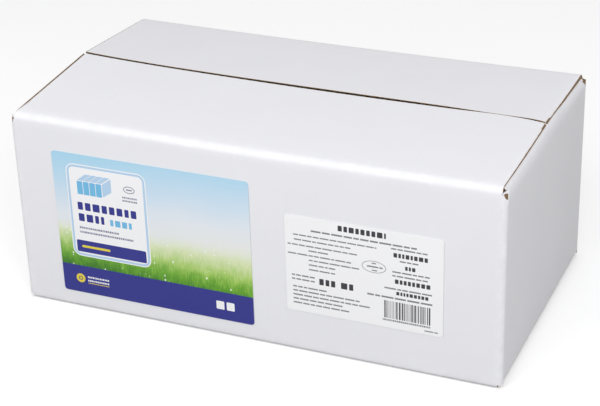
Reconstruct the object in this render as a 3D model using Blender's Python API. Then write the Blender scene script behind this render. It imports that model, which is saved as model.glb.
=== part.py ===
# A shut corrugated carton of the kind that blocks of butter are packed in, with two paper labels.
# The carton is one folded blank. Its outer flaps are hinged on the long walls and meet in a seam
# on top, where they stand up a little like a low roof, and in a second seam underneath.
# Metres, +Z up. The labelled front wall faces -Y, and the origin is under the middle of the base.

import math

import bmesh
import bpy

# Driving dimensions of the carton
carton_length = 0.380
carton_depth = 0.210
crease_height = 0.156       # floor to the top of the long walls' creases
board = 0.004               # thickness of the corrugated board

# Folds
top_crease_radius = 0.0055
bottom_crease_radius = 0.003
corner_radius = 0.0035      # the standing creases
end_roll_radius = 0.008     # where an end wall rolls over into its inner flap
end_roll_drop = 0.0025      # crest of that roll, below the top creases
end_foot_radius = 0.004
end_foot_rise = 0.002       # foot of an end wall, above the floor

# Outer flaps
flap_inset = 0.0033         # from an end wall's outer face to the cut ends of the flaps
seam_gap = 0.003
seam_behind_middle = 0.003
seam_cut_depth = 0.006
seam_rise = 0.003           # how far the flaps stand up at the seam
left_lift = 0.0044          # extra rise at the left end, fading to the right
left_lift_reach = 0.070
right_dip = 0.003           # the flaps' right corners bend down again
right_dip_reach = 0.008
crease_sag = 0.0012         # the long creases hang lowest half way along
pinch_from_right = 0.040    # the flaps touch here
pinch_reach = 0.018
pinch_share = 0.8           # how much of the seam's gap closes there
base_seam_gap = 0.0025
gap_under_flaps = 0.012     # how far in the open wedge under the lifted flap ends goes

# Glued side joint, on the standing edge at the back left
joint_lap = 0.0025

# Labels, as left, right, bottom and top on the front wall, from its lower left corner
picture_label_box = (0.033, 0.192, 0.0135, 0.1305)
info_label_box = (0.219, 0.3368, 0.0335, 0.1105)
label_corner_radius = 0.0025
label_thickness = 0.0002
label_clearance = 0.0003

arc_steps = 6
stations = 30               # sections along the carton, closest together at its ends

half_length = carton_length / 2
label_stand_off = label_clearance + label_thickness
front_y = (label_stand_off - carton_depth) / 2
back_y = front_y + carton_depth
middle_y = (front_y + back_y) / 2
seam_y = middle_y + seam_behind_middle
roll_crest = crease_height - end_roll_drop


def clear_scene():
    for thing in list(bpy.data.objects):
        bpy.data.objects.remove(thing, do_unlink=True)


def finish_material(name, color, roughness):
    material = bpy.data.materials.new(name)
    material.use_nodes = True
    shader = material.node_tree.nodes["Principled BSDF"]
    shader.inputs["Base Color"].default_value = (*color, 1.0)
    shader.inputs["Roughness"].default_value = roughness
    shader.inputs["Metallic"].default_value = 0.0
    return material


def object_from(bm, name):
    bmesh.ops.recalc_face_normals(bm, faces=bm.faces)
    mesh = bpy.data.meshes.new(name)
    bm.to_mesh(mesh)
    bm.free()
    piece = bpy.data.objects.new(name, mesh)
    bpy.context.scene.collection.objects.link(piece)
    return piece


def arc(across, up, radius, start, end):
    """Points on an arc in a section, from one angle to another, in degrees."""
    points = []
    for step in range(arc_steps + 1):
        angle = math.radians(start + (end - start) * step / arc_steps)
        points.append((across + radius * math.cos(angle), up + radius * math.sin(angle)))
    return points


def rounded_outline(low, high, low_radius, high_radius):
    """A rectangle between two corners, with one radius at its lower and one at its upper corners."""
    left, bottom = low
    right, top = high
    points = arc(left + low_radius, bottom + low_radius, low_radius, 270, 180)
    points += arc(left + high_radius, top - high_radius, high_radius, 180, 90)
    points += arc(right - high_radius, top - high_radius, high_radius, 90, 0)
    points += arc(right - low_radius, bottom + low_radius, low_radius, 0, -90)
    return points


def prism(name, outline, start, end, place):
    """An outline carried from start to end. place turns (along, a, b) into a point."""
    return loft(name, outline, (start, end), place)


def loft(name, outline, steps, place):
    bm = bmesh.new()
    rings = []
    for along in steps:
        rings.append([bm.verts.new(place(along, a, b)) for a, b in outline])
    for near, far in zip(rings, rings[1:]):
        for index in range(len(outline)):
            following = (index + 1) % len(outline)
            bm.faces.new((near[index], near[following], far[following], far[index]))
    bm.faces.new(rings[0])
    bm.faces.new(reversed(rings[-1]))
    return object_from(bm, name)


def combine(target, other, operation):
    """Joins, cuts or trims the target with the other object, and removes the other."""
    modifier = target.modifiers.new(operation.title(), "BOOLEAN")
    modifier.operation = operation
    modifier.object = other
    bpy.context.view_layer.update()
    evaluated = target.evaluated_get(bpy.context.evaluated_depsgraph_get())
    mesh = bpy.data.meshes.new_from_object(evaluated)
    target.modifiers.clear()
    target.data = mesh
    bpy.data.objects.remove(other, do_unlink=True)


def along_length(x, y, z):
    return (x, y, z)


def flap_rise(x):
    """How far the flaps stand up at the seam, at a place along the carton."""
    from_left = x + half_length
    from_right = half_length - x
    lift = left_lift * math.exp(-from_left / left_lift_reach)
    dip = right_dip * math.exp(-from_right / right_dip_reach)
    return seam_rise + lift - dip


def seam_opening(x):
    """The seam's gap as a share of its full width."""
    from_pinch = (half_length - pinch_from_right - x) / pinch_reach
    return 1 - pinch_share * math.exp(-from_pinch * from_pinch / 2)


def from_seam(y):
    """0 at the seam and 1 at the long walls."""
    reach = (back_y - seam_y) if y > seam_y else (seam_y - front_y)
    return min(abs(y - seam_y) / reach, 1.0)


def folded_shape(x, y, z):
    """Moves a point of the plain sleeve to where the folded board really lies."""
    if abs(y - seam_y) <= seam_gap / 2 + 1e-6 and z > crease_height / 2:
        y = seam_y + (y - seam_y) * seam_opening(x)
    if z > crease_height / 2:
        slope = from_seam(y)
        sag = crease_sag * math.sin(math.pi * (x + half_length) / carton_length)
        z += flap_rise(x) * (1 - slope) - sag * slope
    return (x, y, z)


def sleeve_outline():
    """The front wall, the outer flaps and the back wall, seen from the end."""
    half_base_gap = base_seam_gap / 2
    near_seam = seam_y - seam_gap / 2
    far_seam = seam_y + seam_gap / 2
    foot = bottom_crease_radius
    fold = top_crease_radius
    outline = [(middle_y - half_base_gap, board), (middle_y - half_base_gap, 0.0)]
    outline += arc(front_y + foot, foot, foot, 270, 180)
    outline += arc(front_y + fold, crease_height - fold, fold, 180, 90)
    outline += [(near_seam, crease_height), (near_seam, crease_height - seam_cut_depth)]
    outline += [(far_seam, crease_height - seam_cut_depth), (far_seam, crease_height)]
    outline += arc(back_y - fold, crease_height - fold, fold, 90, 0)
    outline += arc(back_y - foot, foot, foot, 0, -90)
    outline += [(middle_y + half_base_gap, 0.0), (middle_y + half_base_gap, board)]
    return outline


def make_sleeve():
    """The long walls with their outer flaps, between the flaps' cut ends."""
    reach = half_length - flap_inset
    places = [-reach * math.cos(math.pi * step / stations) for step in range(stations + 1)]
    return loft("carton", sleeve_outline(), places, folded_shape)


def make_end_body():
    """The end walls, rolled over at top and foot, with what they close off."""
    beyond = 0.01
    plan = rounded_outline((-half_length, front_y), (half_length, back_y), corner_radius, corner_radius)
    side = rounded_outline((-half_length, end_foot_rise), (half_length, roll_crest),
                           end_foot_radius, end_roll_radius)
    face = rounded_outline((front_y, end_foot_rise), (back_y, roll_crest),
                           bottom_crease_radius, corner_radius)
    body = prism("end_body", plan, -beyond, crease_height + beyond, lambda z, x, y: (x, y, z))
    rolls = prism("rolls", side, front_y - beyond, back_y + beyond, lambda y, x, z: (x, y, z))
    creases = prism("creases", face, -half_length - beyond, half_length + beyond, along_length)
    combine(body, rolls, "INTERSECT")
    combine(body, creases, "INTERSECT")
    return body


def make_flap_wedge():
    """The open wedge between the lifted left ends of the outer flaps and the inner flap."""
    start = -half_length - 0.001
    inner = -half_length + flap_inset + gap_under_flaps
    underside = crease_height - board

    def under_flap(x, y, height):
        if height == 0:
            return (x, y, roll_crest)
        return (x, y, underside + flap_rise(x) * (1 - from_seam(y)))

    # the flaps' underside comes down to the inner flap this far from the seam
    share = 1 - (roll_crest - underside) / flap_rise(inner)
    near = seam_y - share * (seam_y - front_y)
    far = seam_y + share * (back_y - seam_y)
    outline = [(near, 0), (seam_y, 1), (far, 0)]
    return loft("flap_wedge", outline, (start, inner), under_flap)


def make_joint_rebate():
    """The back wall's cut edge stands a board's thickness proud of the glued lap at the back left."""
    size = (2 * joint_lap, 2 * board, 2 * crease_height)
    bm = bmesh.new()
    bmesh.ops.create_cube(bm, size=1.0)
    bmesh.ops.scale(bm, vec=size, verts=bm.verts)
    bmesh.ops.translate(bm, vec=(-half_length, back_y, crease_height / 2), verts=bm.verts)
    return object_from(bm, "joint_rebate")


def make_carton():
    carton = make_sleeve()
    combine(carton, make_end_body(), "UNION")
    combine(carton, make_flap_wedge(), "DIFFERENCE")
    combine(carton, make_joint_rebate(), "DIFFERENCE")
    carton.data.materials.clear()
    carton.data.materials.append(finish_material("white_board", (0.80, 0.80, 0.83), 0.55))
    carton.data.shade_smooth()
    carton.data.set_sharp_from_angle(angle=math.radians(30))
    return carton


def make_label(name, box, color, roughness):
    """A thin paper sheet just off the front wall."""
    left, right, bottom, top = box
    low = (left - half_length, bottom)
    high = (right - half_length, top)
    outline = rounded_outline(low, high, label_corner_radius, label_corner_radius)
    near = front_y - label_clearance
    label = prism(name, outline, near - label_thickness, near, lambda y, x, z: (x, y, z))
    label.data.materials.append(finish_material(name, color, roughness))
    return label


def main():
    clear_scene()
    make_carton()
    make_label("picture_label", picture_label_box, (0.36, 0.62, 0.55), 0.40)
    make_label("info_label", info_label_box, (0.88, 0.88, 0.89), 0.50)


main()
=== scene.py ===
import math
import random

import bmesh
import bpy
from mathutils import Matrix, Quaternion, Vector, noise


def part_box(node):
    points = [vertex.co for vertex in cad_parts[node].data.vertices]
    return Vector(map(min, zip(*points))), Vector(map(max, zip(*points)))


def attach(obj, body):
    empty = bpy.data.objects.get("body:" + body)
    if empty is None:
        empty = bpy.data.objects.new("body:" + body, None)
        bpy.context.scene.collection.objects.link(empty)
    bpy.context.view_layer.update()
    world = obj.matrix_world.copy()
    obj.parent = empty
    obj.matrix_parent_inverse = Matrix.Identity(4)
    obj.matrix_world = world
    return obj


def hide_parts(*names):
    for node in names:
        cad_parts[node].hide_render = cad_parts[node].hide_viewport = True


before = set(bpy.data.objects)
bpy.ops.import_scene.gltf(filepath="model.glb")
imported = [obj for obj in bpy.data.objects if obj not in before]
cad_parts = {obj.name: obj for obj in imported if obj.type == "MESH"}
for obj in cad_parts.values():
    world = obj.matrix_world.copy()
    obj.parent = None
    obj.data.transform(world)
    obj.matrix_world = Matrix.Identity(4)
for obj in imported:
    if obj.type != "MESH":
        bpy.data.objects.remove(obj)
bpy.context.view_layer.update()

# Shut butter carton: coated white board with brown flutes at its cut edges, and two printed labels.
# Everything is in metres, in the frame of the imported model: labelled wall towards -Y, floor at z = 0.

cartonLow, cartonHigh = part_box("carton")
halfLength = cartonHigh.x
frontY = cartonLow.y
backY = cartonHigh.y
middleY = (frontY + backY) / 2
pictureLow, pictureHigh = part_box("picture_label")
infoLow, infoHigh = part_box("info_label")
labelFace = pictureLow.y     # nothing on the front wall stands out past this

carton = {
    "creaseHeight": 0.156,      # floor to the long walls' top creases
    "board": 0.004,             # corrugated board
    "paper": 0.0004,            # one liner of that board, coating included
    "crushed": 0.0012,          # board where an end wall's roll squeezes it
    "topCrease": 0.0055,        # radii of the folds
    "footCrease": 0.003,
    "standingCrease": 0.0035,
    "endRoll": 0.008,
    "endRollDrop": 0.0025,      # crest of an end wall's roll, below the long creases
    "endFoot": 0.004,
    "endFootRise": 0.002,
    "flapInset": 0.0033,        # from an end wall to the cut ends of the outer flaps
    "cornerGap": 0.004,         # from the creases down to the slot's cut at each corner
    "innerFlap": 0.092,         # length of the flaps on the end walls
    "innerSettle": 0.0022,      # those flaps lie lower than their rolls by this
    "jointLap": 0.0025,         # back wall's cut edge, in from the left end
    "tabCrease": 0.003,
    "tabLength": 0.012,
    "flutePitch": 0.00795,
    "washboard": 0.00006,       # how deep the flutes print through the liner
    "unevenness": 0.00012,
}

lid = {
    "seamGap": 0.003,
    "seamBehindMiddle": 0.003,
    "seamRise": 0.003,          # the flaps stand up like a low roof
    "leftLift": 0.0044,
    "leftLiftReach": 0.070,
    "rightDip": 0.003,
    "rightDipReach": 0.008,
    "creaseSag": 0.0012,
    "pinchFromRight": 0.040,    # the flaps touch here
    "pinchReach": 0.018,
    "pinchShare": 0.8,
    "frontFlapLower": 0.0005,   # half way along, the front flap lies lower at the seam
    "baseSeamGap": 0.0025,
    "rightRollLift": ((0.0, 0.0026), (0.25, 0.0022), (0.5, 0.0034), (0.58, 0.0034), (0.78, 0.0014), (1.0, 0.0002)),
    "leftRollLift": ((0.0, 0.0012), (0.3, 0.0004), (0.6, 0.0), (1.0, 0.0010)),
}

seamY = middleY + lid["seamBehindMiddle"]
flapEnd = halfLength - carton["flapInset"]
rollCrest = carton["creaseHeight"] - carton["endRollDrop"]
rollStart = rollCrest - carton["endRoll"]
footStart = carton["endFootRise"] + carton["endFoot"]
foldStart = carton["creaseHeight"] - carton["topCrease"]


# Working in edit mode, as by hand

def close(a, b):
    return abs(a - b) < 0.00002


def startPlane(name, size, center, turn=(0, 0, 0)):
    bpy.ops.object.select_all(action="DESELECT")
    bpy.ops.mesh.primitive_plane_add(size=1, location=center, rotation=turn)
    piece = bpy.context.object
    piece.name = name
    piece.data.name = name
    bpy.ops.object.transform_apply(location=True, rotation=True, scale=True)
    bpy.ops.object.mode_set(mode="EDIT")
    bpy.ops.mesh.select_all(action="SELECT")
    bpy.ops.transform.resize(value=size, center_override=center)
    return piece


def pickEdges(test):
    bpy.ops.mesh.select_mode(type="EDGE")
    bpy.ops.mesh.select_all(action="DESELECT")
    work = bmesh.from_edit_mesh(bpy.context.edit_object.data)
    for edge in work.edges:
        if test(edge.verts[0].co, edge.verts[1].co):
            edge.select_set(True)
    bmesh.update_edit_mesh(bpy.context.edit_object.data)


def pickFaces(test):
    bpy.ops.mesh.select_mode(type="FACE")
    bpy.ops.mesh.select_all(action="DESELECT")
    work = bmesh.from_edit_mesh(bpy.context.edit_object.data)
    for face in work.faces:
        if test(face.calc_center_median(), face.normal):
            face.select_set(True)
    bmesh.update_edit_mesh(bpy.context.edit_object.data)


def pull(x, y, z):
    bpy.ops.mesh.extrude_region_move(TRANSFORM_OT_translate={"value": (x, y, z)})


def sweep(degrees, center, axis, steps=5):
    bpy.ops.mesh.spin(steps=steps, angle=-math.radians(degrees), center=center, axis=axis)   # spin turns the other way


def cutAcross(axis, longerThan, shorterThan, cuts):
    def longEdge(a, b):
        along = abs(a[axis] - b[axis])
        return longerThan < along < shorterThan and (a - b).length < along * 1.001
    pickEdges(longEdge)
    bpy.ops.mesh.subdivide(number_cuts=cuts)


def leaveEdit():
    bpy.ops.object.mode_set(mode="OBJECT")


def applyAll(piece):
    bpy.ops.object.select_all(action="DESELECT")
    piece.select_set(True)
    bpy.context.view_layer.objects.active = piece
    for modifier in list(piece.modifiers):
        bpy.ops.object.modifier_apply(modifier=modifier.name)


def smooth(piece, degrees=35):
    bpy.ops.object.select_all(action="DESELECT")
    piece.select_set(True)
    bpy.context.view_layer.objects.active = piece
    bpy.ops.object.shade_smooth_by_angle(angle=math.radians(degrees))


def thicken(piece, thickness, offset=-1, rim=0, inner=0):
    wall = piece.modifiers.new("paper", "SOLIDIFY")
    wall.thickness = thickness
    wall.offset = offset
    wall.use_even_offset = False
    wall.material_offset_rim = rim
    wall.material_offset = inner
    applyAll(piece)


def fixNormals():
    bpy.ops.mesh.select_all(action="SELECT")
    bpy.ops.mesh.remove_doubles(threshold=0.000005)
    bpy.ops.mesh.normals_make_consistent(inside=False)


def joinAll(pieces, name):
    bpy.ops.object.select_all(action="DESELECT")
    for piece in pieces:
        piece.select_set(True)
    bpy.context.view_layer.objects.active = pieces[0]
    if len(pieces) > 1:
        bpy.ops.object.join()
    pieces[0].name = name
    pieces[0].data.name = name
    return pieces[0]


def setMaterials(piece, *materials):
    for material in materials:
        piece.data.materials.append(material)


def mount(piece, node):
    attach(piece, "root")
    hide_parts(node)


def ease(value):
    value = min(max(value, 0.0), 1.0)
    return value * value * (3 - 2 * value)


def between(points, share):
    for (fromShare, fromValue), (toShare, toValue) in zip(points, points[1:]):
        if share <= toShare:
            return fromValue + (toValue - fromValue) * ease((share - fromShare) / (toShare - fromShare))
    return points[-1][1]


# How the folded board really lies

def flapRise(x):
    lift = lid["leftLift"] * math.exp(-(x + halfLength) / lid["leftLiftReach"])
    dip = lid["rightDip"] * math.exp(-(halfLength - x) / lid["rightDipReach"])
    return lid["seamRise"] + lift - dip


def slopeAt(y):
    reach = (backY - seamY) if y > seamY else (seamY - frontY)
    return min(abs(y - seamY) / reach, 1.0)


def creaseSag(x):
    return lid["creaseSag"] * math.sin(math.pi * (x + halfLength) / (2 * halfLength))


def seamHalfGap(x):
    fromPinch = (halfLength - lid["pinchFromRight"] - x) / lid["pinchReach"]
    return lid["seamGap"] / 2 * (1 - lid["pinchShare"] * math.exp(-fromPinch * fromPinch / 2))


def lidHeight(x, y):
    slope = slopeAt(y)
    height = carton["creaseHeight"] + flapRise(x) * (1 - slope) - creaseSag(x) * slope
    if y < seamY:
        middle = math.exp(-((x - 0.03) / 0.09) ** 2)
        height -= lid["frontFlapLower"] * middle * (1 - slope) ** 2
    return height


def rollLift(x, y):
    share = (y - frontY) / (backY - frontY)
    return between(lid["rightRollLift"] if x > 0 else lid["leftRollLift"], share)


def innerFlapHeight(x, y):
    side = min(abs(x), flapEnd)
    rollCenter = halfLength - carton["endRoll"]
    if side > rollCenter:
        height = rollStart + math.sqrt(carton["endRoll"] ** 2 - (side - rollCenter) ** 2)
        lift = 1.0
    else:
        away = ease((rollCenter - side) / 0.016)
        height = rollCrest - carton["innerSettle"] * away
        lift = 1.0 - away
    height += rollLift(x, y) * lift
    return min(height, lidHeight(x, y) - carton["crushed"])


def washboard(along):
    return carton["washboard"] * (0.5 - 0.5 * math.cos(2 * math.pi * along / carton["flutePitch"]))


def unevenness(place):
    return carton["unevenness"] * (0.5 + 0.5 * noise.noise(place * 14.0))


# Finishes

def seen(red, green, blue):
    def linear(value):
        value /= 255
        return value / 12.92 if value <= 0.04045 else ((value + 0.055) / 1.055) ** 2.4
    return (linear(red), linear(green), linear(blue), 1)


def newMaterial(name, roughness):
    material = bpy.data.materials.new(name)
    material.use_nodes = True
    tree = material.node_tree
    shader = tree.nodes["Principled BSDF"]
    shader.inputs["Roughness"].default_value = roughness
    return material, tree, shader


def addNode(tree, kind, **settings):
    node = tree.nodes.new(kind)
    for name, value in settings.items():
        setattr(node, name, value)
    return node


def addNoise(tree, vector, scale, detail=2.0, roughness=0.5):
    node = addNode(tree, "ShaderNodeTexNoise")
    node.inputs["Scale"].default_value = scale
    node.inputs["Detail"].default_value = detail
    node.inputs["Roughness"].default_value = roughness
    tree.links.new(vector, node.inputs["Vector"])
    return node.outputs["Fac"]


def addMath(tree, operation, first, second, third=None, clamp=False):
    node = addNode(tree, "ShaderNodeMath", operation=operation, use_clamp=clamp)
    for socket, value in zip(node.inputs, (first, second, third)):
        if value is None:
            continue
        if isinstance(value, (int, float)):
            socket.default_value = value
        else:
            tree.links.new(value, socket)
    return node.outputs["Value"]


def addMix(tree, factor, first, second, blend="MIX"):
    node = addNode(tree, "ShaderNodeMix", data_type="RGBA", blend_type=blend)
    for socket, value in zip((node.inputs["Factor"], node.inputs["A"], node.inputs["B"]), (factor, first, second)):
        pass
    for index, value in ((0, factor), (6, first), (7, second)):
        if isinstance(value, (int, float, tuple)):
            node.inputs[index].default_value = value
        else:
            tree.links.new(value, node.inputs[index])
    return node.outputs[2]


def addRamp(tree, factor, stops, smoothly=False):
    node = addNode(tree, "ShaderNodeValToRGB")
    ramp = node.color_ramp
    ramp.interpolation = "EASE" if smoothly else "LINEAR"
    while len(ramp.elements) < len(stops):
        ramp.elements.new(0.5)
    for element, (position, color) in zip(ramp.elements, stops):
        element.position = position
        element.color = color
    tree.links.new(factor, node.inputs["Fac"])
    return node.outputs["Color"]


def addBump(tree, shader, height, distance, strength):
    node = addNode(tree, "ShaderNodeBump")
    node.inputs["Distance"].default_value = distance
    node.inputs["Strength"].default_value = strength
    tree.links.new(height, node.inputs["Height"])
    tree.links.new(node.outputs["Normal"], shader.inputs["Normal"])


def place(tree, location=(0, 0, 0), scale=(1, 1, 1)):
    coordinates = addNode(tree, "ShaderNodeTexCoord")
    mapping = addNode(tree, "ShaderNodeMapping")
    mapping.inputs["Location"].default_value = location
    mapping.inputs["Scale"].default_value = scale
    tree.links.new(coordinates.outputs["Object"], mapping.inputs["Vector"])
    return mapping.outputs["Vector"]


# Paper grain, shared by every paper here: fine fibres and broad, faint clouds
def makePaperGrain():
    group = bpy.data.node_groups.new("paperGrain", "ShaderNodeTree")
    group.interface.new_socket("Vector", in_out="INPUT", socket_type="NodeSocketVector")
    size = group.interface.new_socket("Fibre Scale", in_out="INPUT", socket_type="NodeSocketFloat")
    size.default_value = 900
    group.interface.new_socket("Height", in_out="OUTPUT", socket_type="NodeSocketFloat")
    group.interface.new_socket("Clouds", in_out="OUTPUT", socket_type="NodeSocketFloat")
    entry = group.nodes.new("NodeGroupInput")
    leave = group.nodes.new("NodeGroupOutput")
    fibres = addNode(group, "ShaderNodeTexNoise")
    fibres.inputs["Detail"].default_value = 5
    fibres.inputs["Roughness"].default_value = 0.65
    group.links.new(entry.outputs["Vector"], fibres.inputs["Vector"])
    group.links.new(entry.outputs["Fibre Scale"], fibres.inputs["Scale"])
    clouds = addNoise(group, entry.outputs["Vector"], 26, 3, 0.55)
    flecks = addNoise(group, entry.outputs["Vector"], 240, 2, 0.6)
    blend = addMath(group, "MULTIPLY_ADD", flecks, 0.35, addMath(group, "MULTIPLY", clouds, 0.65))
    group.links.new(fibres.outputs["Fac"], leave.inputs["Height"])
    group.links.new(blend, leave.inputs["Clouds"])
    return group


# Along folds, where the crease attribute is high: noisy patches, partly rubbed coat and partly painted highlight, and
# fine cracks in the coat at the sharpest folds
def makeCreaseRubAndHighlight():
    group = bpy.data.node_groups.new("creaseRubAndHighlight", "ShaderNodeTree")
    group.interface.new_socket("Vector", in_out="INPUT", socket_type="NodeSocketVector")
    group.interface.new_socket("Crease", in_out="INPUT", socket_type="NodeSocketFloat")
    group.interface.new_socket("RubbedAndHighlit", in_out="OUTPUT", socket_type="NodeSocketFloat")
    group.interface.new_socket("Cracks", in_out="OUTPUT", socket_type="NodeSocketFloat")
    entry = group.nodes.new("NodeGroupInput")
    leave = group.nodes.new("NodeGroupOutput")
    patches = addNoise(group, entry.outputs["Vector"], 110, 4, 0.6)
    rubbedAndHighlit = addMath(group, "MULTIPLY", addMath(group, "SUBTRACT", patches, 0.42, clamp=True), 4.0, clamp=True)
    lines = addNoise(group, entry.outputs["Vector"], 620, 3, 0.7)
    cracks = addMath(group, "MULTIPLY", addMath(group, "SUBTRACT", lines, 0.62, clamp=True), 6.0, clamp=True)
    sharp = addMath(group, "POWER", entry.outputs["Crease"], 3.0)
    group.links.new(addMath(group, "MULTIPLY", rubbedAndHighlit, entry.outputs["Crease"]), leave.inputs["RubbedAndHighlit"])
    group.links.new(addMath(group, "MULTIPLY", cracks, sharp), leave.inputs["Cracks"])
    return group


paperGrain = makePaperGrain()
creaseRubAndHighlight = makeCreaseRubAndHighlight()


def addGrain(tree, vector, fibreScale=900):
    node = addNode(tree, "ShaderNodeGroup", node_tree=paperGrain)
    node.inputs["Fibre Scale"].default_value = fibreScale
    tree.links.new(vector, node.inputs["Vector"])
    return node.outputs["Height"], node.outputs["Clouds"]


whiteBoardLook = {
    "bright": seen(232, 232, 236),
    "dull": seen(226, 226, 231),
    # lighter than the board: rubbed coat and painted highlight on the folds
    "rubbedAndHighlit": seen(238, 238, 241),
    "crack": seen(196, 190, 184),
    "roughness": 0.46,
}


def makeWhiteBoard():
    look = whiteBoardLook
    material, tree, shader = newMaterial("whiteBoard", look["roughness"])
    vector = place(tree)
    height, clouds = addGrain(tree, vector)
    attribute = addNode(tree, "ShaderNodeAttribute", attribute_name="crease")
    fold = addNode(tree, "ShaderNodeGroup", node_tree=creaseRubAndHighlight)
    tree.links.new(vector, fold.inputs["Vector"])
    tree.links.new(attribute.outputs["Fac"], fold.inputs["Crease"])
    color = addMix(tree, clouds, look["dull"], look["bright"])
    # folds painted lighter in patches: part rubbed coat, part painted highlight
    color = addMix(tree, addMath(tree, "MULTIPLY", fold.outputs["RubbedAndHighlit"], 0.7), color, look["rubbedAndHighlit"])
    color = addMix(tree, addMath(tree, "MULTIPLY", fold.outputs["Cracks"], 0.5), color, look["crack"])
    tree.links.new(color, shader.inputs["Base Color"])
    rough = addMath(tree, "MULTIPLY_ADD", clouds, 0.16, look["roughness"] - 0.08)
    tree.links.new(rough, shader.inputs["Roughness"])
    addBump(tree, shader, height, 0.00004, 0.25)
    return material


def makeKraft(name, light, dark, fibreScale=700):
    material, tree, shader = newMaterial(name, 0.9)
    vector = place(tree)
    height, clouds = addGrain(tree, vector, fibreScale)
    mask = addMath(tree, "MULTIPLY_ADD", height, 0.6, addMath(tree, "MULTIPLY", clouds, 0.4))
    color = addRamp(tree, mask, ((0.32, dark), (0.62, light)))
    tree.links.new(color, shader.inputs["Base Color"])
    addBump(tree, shader, height, 0.0002, 0.6)
    return material


def makeInk(name, color, roughness=0.42, patchy=0.08):
    material, tree, shader = newMaterial(name, roughness)
    height, clouds = addGrain(tree, place(tree), 1400)
    light = tuple(min(channel * (1 + patchy) + 0.004, 1) for channel in color[:3]) + (1,)
    dark = tuple(channel * (1 - patchy) for channel in color[:3]) + (1,)
    tree.links.new(addMix(tree, clouds, dark, light), shader.inputs["Base Color"])
    rough = addMath(tree, "MULTIPLY_ADD", clouds, 0.12, roughness - 0.06)
    tree.links.new(rough, shader.inputs["Roughness"])
    addBump(tree, shader, height, 0.00002, 0.2)
    return material


meadowLook = {
    "sky": ((0.42, seen(228, 230, 226)), (0.60, seen(222, 228, 235)), (0.78, seen(197, 219, 236)), (1.0, seen(166, 210, 233))),
    "field": ((0.0, seen(58, 118, 34)), (0.35, seen(104, 165, 44)), (0.62, seen(158, 198, 86)), (1.0, seen(206, 220, 158))),
    "far": seen(220, 228, 200),
    "dew": seen(244, 250, 240),
    "shade": seen(48, 100, 30),
    "horizon": 0.47,
}


def makeMeadow():
    look = meadowLook
    width = pictureHigh.x - pictureLow.x
    height = pictureHigh.z - pictureLow.z
    material, tree, shader = newMaterial("meadowPrint", 0.40)
    share = place(tree, (-pictureLow.x / width, 0, -pictureLow.z / height), (1 / width, 0, 1 / height))
    real = place(tree)
    parts = addNode(tree, "ShaderNodeSeparateXYZ")
    tree.links.new(share, parts.inputs["Vector"])
    across, up = parts.outputs["X"], parts.outputs["Z"]
    # sky: deeper blue towards the upper left, with soft clouds
    clouds = addNoise(tree, place(tree, scale=(14, 14, 34)), 1.0, 3, 0.5)
    tilt = addMath(tree, "MULTIPLY_ADD", across, -0.12, addMath(tree, "ADD", up, 0.02))
    sky = addRamp(tree, addMath(tree, "MULTIPLY_ADD", clouds, 0.16, addMath(tree, "SUBTRACT", tilt, 0.06)), look["sky"])
    # field: low hills, blades standing in it, lighter and softer to the right
    hills = addNoise(tree, place(tree, scale=(22, 0, 0)), 1.0, 1, 0.5)
    horizon = addMath(tree, "MULTIPLY_ADD", hills, 0.10, look["horizon"] - 0.03)
    depth = addMath(tree, "DIVIDE", addMath(tree, "SUBTRACT", up, 0.2), addMath(tree, "SUBTRACT", horizon, 0.2), clamp=True)
    blades = addNoise(tree, place(tree, scale=(900, 0, 150)), 1.0, 3, 0.62)
    tufts = addNoise(tree, place(tree, scale=(120, 0, 90)), 1.0, 2, 0.5)
    soft = addMath(tree, "MULTIPLY_ADD", across, 0.22, depth)
    tone = addMath(tree, "MULTIPLY_ADD", addMath(tree, "SUBTRACT", blades, 0.5), 0.75, soft)
    tone = addMath(tree, "MULTIPLY_ADD", addMath(tree, "SUBTRACT", tufts, 0.5), 0.55, tone, clamp=True)
    field = addRamp(tree, tone, look["field"])
    field = addMix(tree, addMath(tree, "POWER", depth, 3.0), field, look["far"])
    # dew: soft pale spots of several sizes
    spots = addNode(tree, "ShaderNodeTexVoronoi", feature="F1")
    spots.inputs["Scale"].default_value = 1.0
    tree.links.new(place(tree, scale=(260, 0, 240)), spots.inputs["Vector"])
    chance = addNode(tree, "ShaderNodeSeparateColor")
    tree.links.new(spots.outputs["Color"], chance.inputs["Color"])
    radius = addMath(tree, "MULTIPLY_ADD", chance.outputs["Red"], 0.34, -0.08)
    spot = addMath(tree, "MULTIPLY", addMath(tree, "SUBTRACT", radius, spots.outputs["Distance"]), 9.0, clamp=True)
    field = addMix(tree, addMath(tree, "MULTIPLY", spot, 0.85), field, look["dew"])
    # the two meet in a soft haze
    haze = addNoise(tree, place(tree, scale=(160, 0, 60)), 1.0, 2, 0.5)
    edge = addMath(tree, "MULTIPLY_ADD", addMath(tree, "SUBTRACT", haze, 0.5), 0.06, horizon)
    over = addMath(tree, "MULTIPLY_ADD", addMath(tree, "SUBTRACT", up, edge), 11.0, 0.5, clamp=True)
    color = addMix(tree, over, field, sky)
    tree.links.new(color, shader.inputs["Base Color"])
    fibres, faint = addGrain(tree, real, 1400)
    tree.links.new(addMath(tree, "MULTIPLY_ADD", faint, 0.12, 0.34), shader.inputs["Roughness"])
    addBump(tree, shader, fibres, 0.00002, 0.2)
    return material


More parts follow.
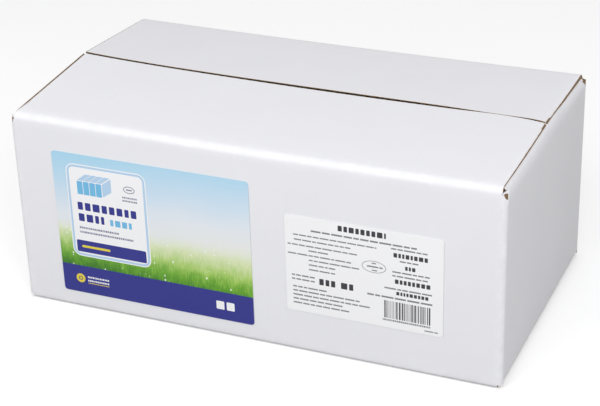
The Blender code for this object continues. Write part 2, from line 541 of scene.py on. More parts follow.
whiteBoard = makeWhiteBoard()
kraft = makeKraft("kraftPaper", seen(176, 148, 116), seen(120, 92, 66))
fluting = makeKraft("flutedPaper", seen(150, 122, 92), seen(96, 74, 54), 500)
labelWhite = makeInk("labelPaper", seen(240, 240, 242), 0.44, 0.015)
meadow = makeMeadow()
inks = {
    "navy": makeInk("inkNavy", seen(46, 50, 136)),
    "white": labelWhite,
    "pale": makeInk("inkPaleBlue", seen(176, 204, 230), patchy=0.04),
    "sky": makeInk("inkSkyBlue", seen(112, 182, 222), patchy=0.05),
    "yellow": makeInk("inkYellow", seen(226, 204, 60)),
    "grey": makeInk("inkGrey", seen(120, 124, 150)),
    "dark": makeInk("inkDark", seen(58, 56, 64)),
    "text": makeInk("inkText", seen(128, 128, 134)),
}


# The blank's outer liner, walked round wall by wall from the joint at the back left

def walkWalls():
    fold = carton["standingCrease"]
    tabFold = carton["tabCrease"]
    left = carton["jointLap"] - halfLength
    right = halfLength - fold
    tabY = backY - carton["board"]
    size = (right - left, 1, rollStart - footStart)
    center = ((left + right) / 2, backY, (rollStart + footStart) / 2)
    skin = startPlane("cartonSkin", size, center, turn=(math.radians(90), 0, 0))
    up = (0, 0, 1)
    pickEdges(lambda a, b: close(a.x, right) and close(b.x, right))
    sweep(-90, (right, backY - fold, 0), up)
    pull(0, frontY - backY + 2 * fold, 0)
    sweep(-90, (right, frontY + fold, 0), up)
    pull(2 * fold - 2 * halfLength, 0, 0)
    sweep(-90, (-right, frontY + fold, 0), up)
    pull(0, tabY - tabFold - frontY - fold, 0)
    sweep(-90, (tabFold - halfLength, tabY - tabFold, 0), up)
    pull(carton["tabLength"], 0, 0)
    return skin


def isEndWall(a, b):
    return close(abs(a.x), halfLength) and close(abs(b.x), halfLength)


def isLongWall(a, b, y):
    return close(a.y, y) and close(b.y, y) and abs(a.x - b.x) > halfLength


def foldTop():
    fold = carton["topCrease"]
    roll = carton["endRoll"]
    pickEdges(lambda a, b: close(a.z, rollStart) and close(b.z, rollStart) and not isEndWall(a, b))
    pull(0, 0, foldStart - rollStart)
    for y, toSeam in ((frontY, 1), (backY, -1)):
        pickEdges(lambda a, b: close(a.z, foldStart) and close(b.z, foldStart) and isLongWall(a, b, y))
        sweep(-90 * toSeam, (0, y + fold * toSeam, foldStart), (1, 0, 0), steps=6)
        pull(0, seamY - lid["seamGap"] / 2 * toSeam - y - fold * toSeam, 0)
    for side in (1, -1):
        pickEdges(lambda a, b: close(a.z, rollStart) and close(b.z, rollStart) and close(a.x * side, halfLength)
                  and close(b.x * side, halfLength))
        sweep(-90 * side, ((halfLength - roll) * side, 0, rollStart), (0, 1, 0), steps=8)
        pull(-0.016 * side, 0, 0)
        pull((0.016 - carton["innerFlap"]) * side, 0, 0)
    pickEdges(lambda a, b: close(a.z, foldStart) and close(b.z, foldStart) and (a - b).length < 0.02)
    pull(0, 0, carton["creaseHeight"] - carton["cornerGap"] - foldStart)


def foldBottom():
    fold = carton["footCrease"]
    foot = carton["endFoot"]
    pickEdges(lambda a, b: close(a.z, footStart) and close(b.z, footStart) and not isEndWall(a, b))
    pull(0, 0, fold - footStart)
    for y, toSeam in ((frontY, 1), (backY, -1)):
        pickEdges(lambda a, b: close(a.z, fold) and close(b.z, fold) and isLongWall(a, b, y))
        sweep(90 * toSeam, (0, y + fold * toSeam, fold), (1, 0, 0), steps=4)
        pull(0, middleY - lid["baseSeamGap"] / 2 * toSeam - y - fold * toSeam, 0)
    for side in (1, -1):
        pickEdges(lambda a, b: close(a.z, footStart) and close(b.z, footStart) and close(a.x * side, halfLength)
                  and close(b.x * side, halfLength))
        sweep(90 * side, ((halfLength - foot) * side, 0, footStart), (0, 1, 0), steps=5)
        pull(-0.016 * side, 0, 0)
        pull((0.016 - carton["innerFlap"]) * side, 0, 0)


def cutFine():
    length = 2 * halfLength
    depth = backY - frontY
    cutAcross(0, 0.9 * length, length, 93)      # then once more: two samples for each half flute
    cutAcross(0, 0.0035, 0.0045, 1)
    cutAcross(1, 0.9 * depth, depth, 99)
    cutAcross(1, 0.4 * depth, 0.6 * depth, 13)
    cutAcross(2, 0.8 * carton["creaseHeight"], carton["creaseHeight"], 19)
    cutAcross(0, 0.06, 0.1, 5)


def creaseCloseness(place):
    toEnd = halfLength - abs(place.x)
    toWall = min(place.y - frontY, backY - place.y)
    toLevel = min(place.z, abs(carton["creaseHeight"] - place.z))
    nearest = sorted((toEnd, toWall, toLevel))
    return ease(1.3 - math.hypot(nearest[0], nearest[1]) / 0.007)


def isEndBoard(place):
    beside = carton["standingCrease"] - 0.0001
    return abs(place.x) > halfLength - carton["endRoll"] - 0.017 and frontY + beside < place.y < backY - beside


def settleSkin(skin):
    closeness = skin.data.attributes.new("crease", "FLOAT", "POINT")
    normals = [vert.normal.copy() for vert in skin.data.vertices]
    rollCenter = halfLength - carton["endRoll"]
    for vert in skin.data.vertices:
        place = vert.co.copy()
        outward = normals[vert.index]
        closeness.data[vert.index].value = creaseCloseness(place)
        onLid = place.z > foldStart + 0.00001 and slopeAt(place.y) < 1 and place.z > rollCrest + 0.001
        onFold = place.z > foldStart - 0.00001 and not isEndBoard(place)
        endBoard = isEndBoard(place) and not onLid and place.z < rollCrest + 0.001
        along = place.y if endBoard else place.x
        dent = washboard(along) + unevenness(place) * (1 - creaseCloseness(place))
        innerFlap = place.z > rollCrest - 0.0001 and not onLid and not onFold
        if place.z > foldStart - 0.00001 and not endBoard and not innerFlap and abs(abs(place.x) - flapEnd) < 0.0009:
            if slopeAt(place.y) < 1 or place.z > foldStart + 0.00001:
                place.x = math.copysign(flapEnd, place.x)
        if endBoard and place.z > rollStart:
            angle = math.atan2(place.z - rollStart, max(abs(place.x) - rollCenter, 0.0))
            if abs(place.x) > rollCenter:
                place.z += rollLift(place.x, place.y) * ease(angle / math.radians(52))
                if abs(place.x) < flapEnd:
                    place.z = min(place.z, lidHeight(place.x, place.y) - carton["crushed"])
            else:
                place.z = innerFlapHeight(place.x, place.y)
        elif innerFlap and not endBoard:
            place.z = innerFlapHeight(place.x, place.y)
        elif place.z < footStart and abs(place.x) < halfLength - carton["endFoot"] - 0.0001 \
                and frontY + 0.001 < place.y < backY - 0.001 and close(vert.co.z, carton["endFootRise"]):
            place.z += 0.0025 * ease((halfLength - carton["endFoot"] - abs(place.x)) / 0.016)
        elif place.z > rollStart and abs(place.x) > halfLength - carton["standingCrease"] + 0.00001:
            share = (abs(place.x) - halfLength + carton["standingCrease"]) / carton["standingCrease"]
            roll = carton["endRoll"]
            lean = roll - math.sqrt(roll ** 2 - min(place.z - rollStart, roll) ** 2)
            place.x -= math.copysign(lean * share, place.x)
        elif onLid or onFold:
            if abs(place.y - seamY) <= lid["seamGap"] / 2 + 0.00001 and onLid:
                place.y = seamY + math.copysign(seamHalfGap(place.x), place.y - seamY)
            place.z += lidHeight(place.x, place.y) - carton["creaseHeight"]
        vert.co = place - outward * dent


def makeSkin():
    skin = walkWalls()
    foldTop()
    foldBottom()
    cutFine()
    fixNormals()
    leaveEdit()
    settleSkin(skin)
    setMaterials(skin, whiteBoard, kraft)
    thicken(skin, carton["paper"], rim=1, inner=1)
    smooth(skin)
    return skin


skin = makeSkin()
print("carton: skin", len(skin.data.polygons), "faces")


# Inside the board's cut edges: the other liner, the fluted paper and what shows through the slots

cutEdge = {
    "linerUnder": 0.0003,
    "ribbonDepth": 0.009,       # how far in from the seam the flutes are modelled
    "ribbonPaper": 0.00025,
    "flutePoints": 11,
    "ragged": 0.0004,
    "endRecess": 0.0003,
    "endRagged": 0.0011,
}


def boardTop(x, y):
    return lidHeight(x, y) - carton["paper"]


def boardBottom(x, y):
    height = lidHeight(x, y) - carton["board"] + carton["paper"]
    return max(height, innerFlapHeight(x, y) + carton["paper"] + 0.0001)


def footFlapHeight(x):
    settle = ease((halfLength - carton["endFoot"] - abs(x)) / 0.016)
    return carton["endFootRise"] + 0.0025 * settle


def footBoardTop(x):
    return min(carton["board"] - carton["paper"], footFlapHeight(x) - carton["paper"])


def makeUnderLiner(name, onLid, toSeam):
    seam = seamY if onLid else middleY
    halfGap = (lid["seamGap"] if onLid else lid["baseSeamGap"]) / 2
    wall = (frontY if toSeam > 0 else backY) + carton["topCrease"] * toSeam
    edge = seam - halfGap * toSeam
    size = (2 * flapEnd, abs(edge - wall), 1)
    piece = startPlane(name, size, (0, (edge + wall) / 2, 0))
    cutAcross(0, flapEnd, 3 * flapEnd, 93)
    cutAcross(1, 0.5 * size[1], 2 * size[1], 12)
    leaveEdit()
    for vert in piece.data.vertices:
        x, y = vert.co.x, vert.co.y
        atSeam = close(y, edge)
        if atSeam:
            y = seam - (seamHalfGap(x) if onLid else halfGap) * toSeam
            y -= cutEdge["ragged"] * (0.5 + 0.5 * noise.noise(Vector((x * 700, toSeam, 3)))) * toSeam
        z = boardBottom(x, y) if onLid else footBoardTop(x)
        if abs(x) > flapEnd - 0.0001:
            x -= math.copysign(0.0003 + 0.0003 * noise.noise(Vector((y * 600, x, 5))), x)
        vert.co = (x, y, z)
    thicken(piece, cutEdge["linerUnder"], offset=-1 if onLid else 1)
    smooth(piece)
    return piece


def makeFluteRibbon(name, onLid, toSeam):
    seam = seamY if onLid else middleY
    halfGap = (lid["seamGap"] if onLid else lid["baseSeamGap"]) / 2
    depth = cutEdge["ribbonDepth"]
    pitch = carton["flutePitch"]
    edge = seam - halfGap * toSeam
    piece = startPlane(name, (pitch, depth, 1), (pitch / 2 - flapEnd, edge - depth / 2 * toSeam, 0))
    cutAcross(0, 0.5 * pitch, 2 * pitch, cutEdge["flutePoints"])
    cutAcross(1, 0.5 * depth, 2 * depth, 2)
    leaveEdit()
    for vert in piece.data.vertices:
        vert.co.z = 0.001 * math.sin(2 * math.pi * (vert.co.x + flapEnd) / pitch)
    flutes = piece.modifiers.new("flutes", "ARRAY")
    flutes.count = math.ceil(2 * flapEnd / pitch)
    flutes.use_relative_offset = False
    flutes.use_constant_offset = True
    flutes.constant_offset_displace = (pitch, 0, 0)
    flutes.use_merge_vertices = True
    flutes.merge_threshold = 0.00001
    applyAll(piece)
    half = cutEdge["ribbonPaper"] / 2
    for vert in piece.data.vertices:
        x, y = vert.co.x, vert.co.y
        share = vert.co.z / 0.001
        back = (edge - y) * toSeam
        gap = seamHalfGap(x) if onLid else halfGap
        uneven = 0.5 + 0.5 * noise.noise(Vector((x * 420, toSeam * 2, 9)))
        y = seam - (gap + back + (cutEdge["ragged"] * uneven if back < 0.0001 else 0)) * toSeam
        top = (boardTop(x, y) if onLid else footBoardTop(x)) - half
        bottom = (boardBottom(x, y) if onLid else carton["paper"]) + half
        lean = 0.12 * noise.noise(Vector((x * 90, toSeam * 5, 2)))
        x += 0.0012 * lean * (1 - share * share)
        vert.co = (min(x, flapEnd - 0.0003), y, (top + bottom) / 2 + share * (top - bottom) / 2)
    thicken(piece, cutEdge["ribbonPaper"], offset=0)
    smooth(piece, 60)
    return piece


def makeFlapCut(name, side, toSeam):
    wall = frontY if toSeam > 0 else backY
    fold = carton["topCrease"]
    near = carton["paper"]
    far = carton["board"] - carton["paper"]
    below = 0.003
    center = (flapEnd * side, wall + (near + far) / 2 * toSeam, foldStart - below / 2)
    piece = startPlane(name, (1, far - near, below), center, turn=(0, math.radians(90), 0))
    pickEdges(lambda a, b: close(a.z, foldStart) and close(b.z, foldStart))
    sweep(-90 * toSeam, (0, wall + fold * toSeam, foldStart), (1, 0, 0), steps=6)
    pull(0, seamY - lid["seamGap"] / 2 * toSeam - wall - fold * toSeam, 0)
    pickEdges(lambda a, b: abs((a - b).length - (far - near)) < 0.00005)
    bpy.ops.mesh.subdivide(number_cuts=4)
    cutAcross(1, 0.05, 0.2, 80)
    leaveEdit()
    for vert in piece.data.vertices:
        x, y, z = vert.co
        if slopeAt(y) < 1 and z > foldStart + 0.00001:
            radial = math.hypot(y - wall - fold * toSeam, z - foldStart) if (y - wall) * toSeam < fold \
                else z - foldStart
            depth = (fold - radial - near) / (far - near)
            if (y - wall) * toSeam < fold:
                z += boardTop(x, y) - (carton["creaseHeight"] - near)
            else:
                z = boardTop(x, y) + (boardBottom(x, y) - boardTop(x, y)) * depth
        else:
            depth = ((y - wall) * toSeam - near) / (far - near)
        hollow = math.sin(math.pi * min(max(depth, 0), 1))
        uneven = 0.5 + 0.5 * noise.noise(Vector((y * 260, z * 260, side * 3)))
        x -= (cutEdge["endRecess"] + cutEdge["endRagged"] * uneven * hollow) * side
        vert.co = (x, y, z)
    thicken(piece, cutEdge["ribbonPaper"], offset=0)
    smooth(piece, 60)
    return piece


def makeJointCut():
    near = carton["paper"]
    far = carton["board"] - carton["paper"]
    height = foldStart - carton["footCrease"]
    x = carton["jointLap"] - halfLength
    center = (x, backY - (near + far) / 2, carton["footCrease"] + height / 2)
    piece = startPlane("jointCut", (1, far - near, height), center, turn=(0, math.radians(90), 0))
    cutAcross(1, 0.5 * (far - near), 2 * (far - near), 4)
    cutAcross(2, 0.5 * height, 2 * height, 90)
    leaveEdit()
    for vert in piece.data.vertices:
        depth = (backY - vert.co.y - near) / (far - near)
        hollow = math.sin(math.pi * min(max(depth, 0), 1))
        uneven = 0.5 + 0.5 * noise.noise(Vector((vert.co.y * 260, vert.co.z * 260, 8)))
        vert.co.x += cutEdge["endRecess"] + cutEdge["endRagged"] * uneven * hollow
    thicken(piece, cutEdge["ribbonPaper"], offset=0)
    smooth(piece, 60)
    back = startPlane("jointLiner", (0.010, 1, height), (x + 0.0052, backY - far - 0.0001, center[2]),
                      turn=(math.radians(90), 0, 0))
    cutAcross(2, 0.5 * height, 2 * height, 40)
    leaveEdit()
    thicken(back, cutEdge["linerUnder"])
    return [piece, back]


def makeFootCut(name, side, toSeam):
    wall = (frontY if toSeam > 0 else backY) + carton["footCrease"] * toSeam
    edge = middleY - lid["baseSeamGap"] / 2 * toSeam
    near = carton["paper"]
    far = carton["endFootRise"]
    center = (flapEnd * side, (wall + edge) / 2, (near + far) / 2)
    piece = startPlane(name, (1, abs(edge - wall), far - near), center, turn=(0, math.radians(90), 0))
    cutAcross(1, 0.05, 0.2, 70)
    cutAcross(2, 0.5 * (far - near), 2 * (far - near), 3)
    leaveEdit()
    for vert in piece.data.vertices:
        uneven = 0.5 + 0.5 * noise.noise(Vector((vert.co.y * 260, vert.co.z * 260, side * 3)))
        vert.co.x -= (cutEdge["endRecess"] + cutEdge["endRagged"] * uneven) * side
    thicken(piece, cutEdge["ribbonPaper"], offset=0)
    smooth(piece, 60)
    return piece


def makeSeamFloor(name, y, z):
    piece = startPlane(name, (2 * halfLength - 0.02, 0.022, 1), (0, y, z))
    cutAcross(0, 0.2, 0.5, 60)
    cutAcross(1, 0.01, 0.05, 3)
    leaveEdit()
    for vert in piece.data.vertices:
        vert.co.z += 0.0004 * noise.noise(vert.co * 60)
    thicken(piece, carton["paper"])
    smooth(piece)
    return piece


def makeCornerCore(name, sideX, sideY, bottom, top):
    fold = carton["standingCrease"]
    radius = fold - carton["paper"] - 0.0001
    y = (backY if sideY > 0 else frontY) - fold * sideY
    bpy.ops.object.select_all(action="DESELECT")
    bpy.ops.mesh.primitive_cylinder_add(vertices=28, radius=radius, depth=top - bottom,
                                        location=((halfLength - fold) * sideX, y, (top + bottom) / 2))
    piece = bpy.context.object
    piece.name = name
    bpy.ops.object.transform_apply(location=True, rotation=True, scale=True)
    bpy.ops.object.mode_set(mode="EDIT")
    pickFaces(lambda center, normal: abs(normal.z) > 0.9)
    bpy.ops.mesh.inset(thickness=0.0006)
    bpy.ops.mesh.inset(thickness=0.0008)
    leaveEdit()
    for vert in piece.data.vertices:
        if not (close(vert.co.z, top) or close(vert.co.z, bottom)):
            continue
        vert.co.z += 0.0007 * noise.noise(vert.co * 900) * (1 if close(vert.co.z, top) else 0.3)
    smooth(piece, 50)
    return piece


def makeInsides():
    liners = []
    flutes = []
    cuts = []
    for onLid in (True, False):
        for toSeam in (1, -1):
            liners.append(makeUnderLiner("underLiner", onLid, toSeam))
            flutes.append(makeFluteRibbon("fluteRibbon", onLid, toSeam))
    for side in (1, -1):
        for toSeam in (1, -1):
            cuts.append(makeFlapCut("flapCut", side, toSeam))
            cuts.append(makeFootCut("footCut", side, toSeam))
    cuts += makeJointCut()
    liners.append(makeSeamFloor("seamFloor", seamY, carton["creaseHeight"] - 0.0075))
    liners.append(makeSeamFloor("baseSeamFloor", middleY, carton["board"] + 0.0015))
    cornerTop = carton["creaseHeight"] - carton["cornerGap"] - 0.0008
    for sideX, sideY in ((1, -1), (-1, -1), (1, 1)):
        cuts.append(makeCornerCore("cornerCore", sideX, sideY, cornerTop - 0.012, cornerTop))
        cuts.append(makeCornerCore("cornerCore", sideX, sideY, carton["footCrease"] + 0.0004, 0.012))
    return joinAll(liners, "underLiners"), joinAll(flutes, "flutes"), joinAll(cuts, "cutEdges")


underLiners, flutes, cutEdges = makeInsides()
print("carton: cut edges", sum(len(piece.data.polygons) for piece in (underLiners, flutes, cutEdges)), "faces")



# The two labels: thin sheets of paper on the front wall, with every layer of print a hair thicker

labelPaper = {
    "back": 0.00045,            # in from the outermost face that the frame allows
    "face": 0.00015,
    "layer": 0.00003,           # thickness of one layer of print
    "cornerRadius": 0.0025,
}

picturePrint = {                # places in metres from the label's lower left corner
    "bandTop": 0.0233,
    "card": (0.0110, 0.0320, 0.0660, 0.0770, 0.0065),       # left, bottom, width, height, corner radius
    "cardEdge": 0.0008,
    "cardOutline": 0.0017,
    "footBar": (0.0147, 0.0357, 0.0586, 0.0100),
    "footBarLine": (0.0190, 0.0397, 0.0240, 0.0019),
    "headlines": ((0.0185, 0.0715, 0.0690, 0.0064), (0.0185, 0.0620, 0.0400, 0.0064)),     # left, bottom, right, height
    "subtitle": (0.0450, 0.0620, 0.0650, 0.0052),
    "weight": (0.1290, 0.0085, 0.1492, 0.0068),
    "smallRows": ((0.0570, 0.0872, 0.0690, 0.0013), (0.0570, 0.0845, 0.0690, 0.0013), (0.0185, 0.0557, 0.0520, 0.0016),
                  (0.0185, 0.0520, 0.0640, 0.0016)),
    "ring": (0.0630, 0.0945, 0.0047, 0.0029),               # centre and half sizes
    "disc": (0.0150, 0.0123, 0.0038),
    "sideRows": ((0.0212, 0.0134, 0.0394, 0.0014), (0.0212, 0.0104, 0.0394, 0.0014)),
    "underline": (0.0212, 0.0087, 0.0182, 0.0005),
    "pat": (0.0190, 0.0845, 0.0210, 0.0108, 0.0076, 0.0056),    # left, bottom, width, height, run back and up
}

infoPrint = {
    "headline": (0.0404, 0.0703, 0.0760, 0.0043),
    "subtitle": (0.0200, 0.0660, 0.0985, 0.0013),
    "leftRows": ((0.0065, 0.0615, 0.0690, 0.0010), (0.0069, 0.0577, 0.0500, 0.0010), (0.0020, 0.0535, 0.0545, 0.0010),
                 (0.0179, 0.0500, 0.0340, 0.0010), (0.0020, 0.0462, 0.0500, 0.0010), (0.0179, 0.0425, 0.0560, 0.0010),
                 (0.0179, 0.0388, 0.0380, 0.0010), (0.0179, 0.0350, 0.0378, 0.0010)),
    "weightNotes": ((0.0045, 0.0288, 0.0232, 0.0011), (0.0045, 0.0256, 0.0220, 0.0011)),
    "weight": (0.0256, 0.0245, 0.0530, 0.0050),
    "footRows": ((0.0052, 0.0195, 0.0310, 0.0011), (0.0052, 0.0162, 0.0560, 0.0011), (0.0052, 0.0129, 0.0640, 0.0011),
                 (0.0052, 0.0096, 0.0430, 0.0011), (0.0052, 0.0063, 0.0480, 0.0011)),
    "oval": (0.0670, 0.0468, 0.0090, 0.0047),
    "ovalRows": ((0.0654, 0.0491, 0.0686, 0.0009), (0.0618, 0.0463, 0.0735, 0.0011), (0.0654, 0.0436, 0.0694, 0.0009)),
    "dates": ((0.0797, 0.0632, 0.1062, 0.0011, 0), (0.0815, 0.0573, 0.1075, 0.0034, 1), (0.0861, 0.0541, 0.1008, 0.0011, 0),
              (0.0900, 0.0484, 0.0984, 0.0030, 1), (0.0806, 0.0452, 0.1079, 0.0011, 0), (0.0806, 0.0421, 0.1079, 0.0011, 0),
              (0.0825, 0.0366, 0.1091, 0.0034, 1), (0.0747, 0.0316, 0.1096, 0.0011, 0), (0.0835, 0.0276, 0.1075, 0.0027, 1),
              (0.0618, 0.0240, 0.1105, 0.0013, 0)),
    "stripes": (0.0745, 0.0079, 0.0350, 0.0140),
    "stripeNote": (0.0733, 0.0056, 0.1085, 0.0014),
    "lastNote": (0.1043, 0.0025, 0.1142, 0.0009),
}


def rounded(left, bottom, width, height, radius, low, layers, name="printPatch"):
    back = labelFace + labelPaper["back"]
    front = labelFace + labelPaper["face"] - labelPaper["layer"] * layers
    if layers:
        back = labelFace + labelPaper["face"] + labelPaper["layer"]
    center = (low.x + left + width / 2, back, low.z + bottom + height / 2)
    piece = startPlane(name, (width, 1, height), center, turn=(math.radians(90), 0, 0))
    bpy.ops.mesh.bevel(affect="VERTICES", offset=radius, segments=5)
    return piece, back - front


def raised(piece, depth):
    leaveEdit()
    thicken(piece, depth, offset=1)
    return piece


def printPatch(left, bottom, width, height, radius, low, layers):
    return raised(*rounded(left, bottom, width, height, radius, low, layers))


def printRound(x, z, halfWidth, halfHeight, low, layers, line=0.0):
    back = labelFace + labelPaper["face"] + labelPaper["layer"]
    front = labelFace + labelPaper["face"] - labelPaper["layer"] * layers
    bpy.ops.object.select_all(action="DESELECT")
    place = (low.x + x, back, low.z + z)
    bpy.ops.mesh.primitive_circle_add(vertices=40, radius=1, fill_type="NGON", location=place,
                                      rotation=(math.radians(90), 0, 0))
    piece = bpy.context.object
    bpy.ops.object.transform_apply(location=True, rotation=True, scale=True)
    bpy.ops.object.mode_set(mode="EDIT")
    bpy.ops.mesh.select_all(action="SELECT")
    bpy.ops.transform.resize(value=(halfWidth, 1, halfHeight), center_override=place)
    if line:
        bpy.ops.mesh.inset(thickness=line)
        bpy.ops.mesh.delete(type="FACE")
    return raised(piece, back - front)


def printQuad(corners, low, layers):
    back = labelFace + labelPaper["face"] + labelPaper["layer"]
    front = labelFace + labelPaper["face"] - labelPaper["layer"] * layers
    piece = startPlane("printQuad", (1, 1, 1), (0, back, 0), turn=(math.radians(90), 0, 0))
    leaveEdit()
    order = sorted(piece.data.vertices, key=lambda vert: math.atan2(vert.co.z, vert.co.x))
    for vert, (x, z) in zip(order, corners):
        vert.co = (low.x + x, back, low.z + z)
    bpy.ops.object.mode_set(mode="EDIT")
    bpy.ops.mesh.select_all(action="SELECT")
    bpy.ops.mesh.bevel(affect="VERTICES", offset=0.0004, segments=2)
    return raised(piece, back - front)


def printBlocks(name, blocks, low, layers, corner=0.0):
    back = labelFace + labelPaper["face"] + labelPaper["layer"]
    front = labelFace + labelPaper["face"] - labelPaper["layer"] * layers
    left, bottom, width, height = blocks[0]
    bpy.ops.object.select_all(action="DESELECT")
    for index, (left, bottom, width, height) in enumerate(blocks):
        center = (low.x + left + width / 2, (back + front) / 2, low.z + bottom + height / 2)
        if index == 0:
            bpy.ops.mesh.primitive_cube_add(size=1, location=center)
            piece = bpy.context.object
            piece.name = name
            bpy.ops.object.transform_apply(location=True, rotation=True, scale=True)
            bpy.ops.object.mode_set(mode="EDIT")
            bpy.ops.transform.resize(value=(width, back - front, height), center_override=center)
        else:
            bpy.ops.mesh.primitive_cube_add(size=1, location=center, scale=(width, back - front, height))
    if corner:
        pickEdges(lambda a, b: close(a.x, b.x) and close(a.z, b.z))
        bpy.ops.mesh.bevel(offset=corner, segments=2)
    leaveEdit()
    return piece


def letterBlocks(row, dice, share=(0.45, 0.95), gap=0.28, wordEvery=99):
    left, bottom, right, height = row
    blocks = []
    count = 0
    while left < right - 0.3 * height:
        width = min(height * dice.uniform(*share), right - left)
        blocks.append((left, bottom, width, height))
        left += width + gap * height
        count += 1
        if count % wordEvery == 0:
            left += 0.6 * height
    return blocks


def wordBlocks(row, dice, words=(2.2, 8.0)):
    left, bottom, right, height = row[:4]
    blocks = []
    while left < right - height:
        width = min(height * dice.uniform(*words), right - left)
        blocks.append((left, bottom, width, height))
        left += width + 0.75 * height
    return blocks


def stripeBlocks(row, dice):
    left, bottom, width, height = row
    blocks = []
    x = left
    while x < left + width - 0.0006:
        stripe = dice.choice((0.00033, 0.00033, 0.00066, 0.00099))
        blocks.append((x, bottom, stripe, height))
        x += stripe + dice.choice((0.00033, 0.00066, 0.00066, 0.00099))
    return blocks


def makePictureLabel():
    width = pictureHigh.x - pictureLow.x
    height = pictureHigh.z - pictureLow.z
    sheet, depth = rounded(0, 0, width, height, labelPaper["cornerRadius"], pictureLow, 0, "pictureLabel")
    bpy.ops.mesh.bisect(plane_co=(0, 0, pictureLow.z + picturePrint["bandTop"]), plane_no=(0, 0, 1))
    leaveEdit()
    for face in sheet.data.polygons:
        face.material_index = 1 if face.center.z < pictureLow.z + picturePrint["bandTop"] else 0
    return raised(sheet, depth)


def makePicturePrint():
    dice = random.Random(11)
    left, bottom, width, height, radius = picturePrint["card"]
    edge = picturePrint["cardEdge"]
    line = edge + picturePrint["cardOutline"]
    parts = {"white": [], "pale": [], "navy": [], "sky": [], "yellow": [], "grey": []}
    parts["white"].append(printPatch(left, bottom, width, height, radius, pictureLow, 1))
    parts["pale"].append(printPatch(left + edge, bottom + edge, width - 2 * edge, height - 2 * edge,
                                    radius - edge, pictureLow, 2))
    parts["white"].append(printPatch(left + line, bottom + line, width - 2 * line, height - 2 * line,
                                     radius - line, pictureLow, 3))
    parts["navy"].append(printPatch(*picturePrint["footBar"], 0.0012, pictureLow, 4))
    parts["yellow"].append(printPatch(*picturePrint["footBarLine"], 0.0008, pictureLow, 5))
    for row in picturePrint["headlines"]:
        parts["navy"].append(printBlocks("headline", letterBlocks(row, dice), pictureLow, 4, 0.0006))
    parts["sky"].append(printBlocks("subtitle", letterBlocks(picturePrint["subtitle"], dice), pictureLow, 4, 0.0005))
    parts["white"].append(printBlocks("weight", letterBlocks(picturePrint["weight"], dice, wordEvery=2),
                                      pictureLow, 1, 0.0006))
    for row in picturePrint["smallRows"]:
        parts["grey"].append(printBlocks("smallRow", letterBlocks(row, dice), pictureLow, 4))
    for row in picturePrint["sideRows"]:
        parts["white"].append(printBlocks("sideRow", letterBlocks(row, dice), pictureLow, 1))
    x, z, radius = picturePrint["disc"]
    parts["yellow"].append(printRound(x, z, radius, radius, pictureLow, 1))
    parts["navy"].append(printRound(x, z, 0.45 * radius, 0.45 * radius, pictureLow, 2, line=0.0006))
    parts["yellow"].append(printPatch(*picturePrint["underline"], 0.0002, pictureLow, 1))
    parts["grey"].append(printRound(*picturePrint["ring"], pictureLow, 4, line=0.0006))
    parts["grey"].append(printBlocks("ringRow", [(picturePrint["ring"][0] - 0.0024, picturePrint["ring"][1] - 0.0005,
                                                  0.0048, 0.0010)], pictureLow, 4))
    left, bottom, width, height, runX, runZ = picturePrint["pat"]
    slices = 4
    for index in range(slices):                     # a block of butter, cut into slices
        a = left + width * index / slices + 0.0005
        b = left + width * (index + 1) / slices
        parts["sky"].append(printQuad(((a, bottom), (b, bottom), (b, bottom + height), (a, bottom + height)),
                                      pictureLow, 4))
        top = bottom + height + 0.0006
        parts["pale"].append(printQuad(((a + 0.0004, top), (b + 0.0004, top), (b + runX, top + runZ),
                                        (a + runX, top + runZ)), pictureLow, 4))
    right = left + width + 0.0007
    parts["pale"].append(printQuad(((right, bottom + 0.0004), (right + runX, bottom + runZ),
                                    (right + runX, bottom + height + runZ), (right, bottom + height)), pictureLow, 4))
    return parts


def makeInfoLabel():
    width = infoHigh.x - infoLow.x
    height = infoHigh.z - infoLow.z
    sheet, depth = rounded(0, 0, width, height, labelPaper["cornerRadius"], infoLow, 0, "infoLabel")
    return raised(sheet, depth)


def makeInfoPrint():
    dice = random.Random(29)
    dark = [printBlocks("headline", letterBlocks(infoPrint["headline"], dice), infoLow, 1, 0.0004),
            printBlocks("weight", letterBlocks(infoPrint["weight"], dice, wordEvery=3), infoLow, 1, 0.0004)]
    grey = [printRound(*infoPrint["oval"], infoLow, 1, line=0.0004)]
    grey.append(printBlocks("subtitle", wordBlocks(infoPrint["subtitle"], dice), infoLow, 1))
    for group in ("leftRows", "weightNotes", "footRows", "ovalRows"):
        for row in infoPrint[group]:
            grey.append(printBlocks(group, wordBlocks(row, dice), infoLow, 1))
    for left, bottom, right, height, bold in infoPrint["dates"]:
        row = (left, bottom, right, height)
        if bold:
            dark.append(printBlocks("dates", letterBlocks(row, dice), infoLow, 1, 0.0003))
        else:
            grey.append(printBlocks("dates", wordBlocks(row, dice), infoLow, 1))
    dark.append(printBlocks("stripes", stripeBlocks(infoPrint["stripes"], dice), infoLow, 1))
    grey.append(printBlocks("stripeNote", letterBlocks(infoPrint["stripeNote"], dice), infoLow, 1))
    grey.append(printBlocks("lastNote", wordBlocks(infoPrint["lastNote"], dice), infoLow, 1))
    return dark, grey


pictureLabel = makePictureLabel()
picturePieces = {name: joinAll(parts, "picturePrint_" + name) for name, parts in makePicturePrint().items()}
infoLabel = makeInfoLabel()
infoDark, infoGrey = makeInfoPrint()
infoDark = joinAll(infoDark, "infoPrint_dark")
infoGrey = joinAll(infoGrey, "infoPrint_grey")
print("carton: labels and print ready")

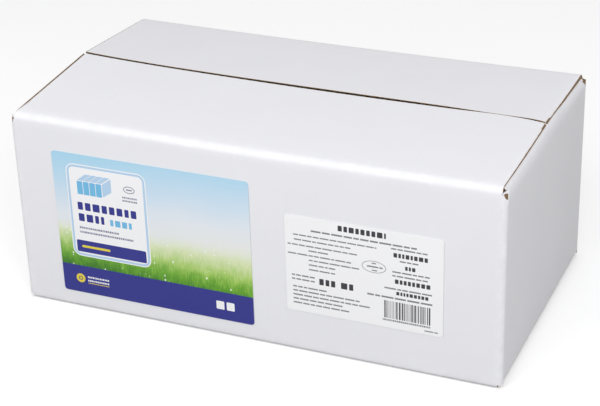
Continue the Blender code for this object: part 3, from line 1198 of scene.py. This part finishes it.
setMaterials(underLiners, kraft)
setMaterials(flutes, fluting)
setMaterials(cutEdges, fluting)
for piece in (skin, underLiners, flutes, cutEdges):
    mount(piece, "carton")
setMaterials(pictureLabel, meadow, inks["navy"])
mount(pictureLabel, "picture_label")
for name, piece in picturePieces.items():
    setMaterials(piece, inks[name])
    mount(piece, "picture_label")
setMaterials(infoLabel, labelWhite)
setMaterials(infoDark, inks["dark"])
setMaterials(infoGrey, inks["text"])
for piece in (infoLabel, infoDark, infoGrey):
    mount(piece, "info_label")
print("carton: finishes applied")


# Camera, light and floor

def makeCamera():
    data = bpy.data.cameras.new("camera")
    data.lens = 100.04
    data.sensor_width = 36
    camera = bpy.data.objects.new("camera", data)
    bpy.context.scene.collection.objects.link(camera)
    camera.location = (0.4567, -1.05185, 0.6438)
    target = Vector((0.0267, -0.0712, 0.1021))
    roll = math.radians(-1.81)
    camera.rotation_mode = "QUATERNION"
    camera.rotation_quaternion = (target - camera.location).to_track_quat("-Z", "Y") @ Quaternion((0, 0, 1), roll)
    bpy.context.scene.camera = camera
    return camera


studio = {
    "world": 0.65,
    "leftBox": ((-0.5, -0.9, 0.8), 0.8, 5.0),       # place, side and watts of each softbox
    "rightBox": ((0.6, -0.9, 0.8), 0.8, 5.2),
    "sideBox": ((1.3, -0.3, 0.9), 0.9, 2.8),
    "floor": (0.97, 0.97, 0.97, 1),
    "floorBounce": (0.4, 0.4, 0.4, 1),      # what the floor throws back, as a grey sweep would
    "floorGlow": 0.14,                      # the sweep is lit from behind too
}


def makeSoftbox(name, where, side, power):
    data = bpy.data.lights.new(name, "AREA")
    data.shape = "SQUARE"
    data.size = side
    data.energy = power
    light = bpy.data.objects.new(name, data)
    bpy.context.scene.collection.objects.link(light)
    light.location = where
    aim = Vector((0, 0, carton["creaseHeight"] / 2))
    light.rotation_mode = "QUATERNION"
    light.rotation_quaternion = (aim - light.location).to_track_quat("-Z", "Y")


def makeStudio():
    bpy.ops.object.select_all(action="DESELECT")
    bpy.ops.mesh.primitive_plane_add(size=8, location=(0, 0, -0.0002))
    floor = bpy.context.object
    floor.name = "floor"
    material, tree, shader = newMaterial("floorPaper", 0.9)
    rays = addNode(tree, "ShaderNodeLightPath")
    color = addMix(tree, rays.outputs["Is Camera Ray"], studio["floorBounce"], studio["floor"])
    tree.links.new(color, shader.inputs["Base Color"])
    shader.inputs["Emission Color"].default_value = (1, 1, 1, 1)
    glow = addMath(tree, "MULTIPLY", rays.outputs["Is Camera Ray"], studio["floorGlow"])
    tree.links.new(glow, shader.inputs["Emission Strength"])
    floor.data.materials.append(material)
    world = bpy.data.worlds.new("studio")
    world.use_nodes = True
    world.node_tree.nodes["Background"].inputs["Color"].default_value = (1, 1, 1, 1)
    world.node_tree.nodes["Background"].inputs["Strength"].default_value = studio["world"]
    bpy.context.scene.world = world
    bpy.context.scene.view_settings.view_transform = "Standard"
    for name in ("leftBox", "rightBox", "sideBox"):
        makeSoftbox(name, *studio[name])


camera = makeCamera()
makeStudio()
print("carton: studio ready")
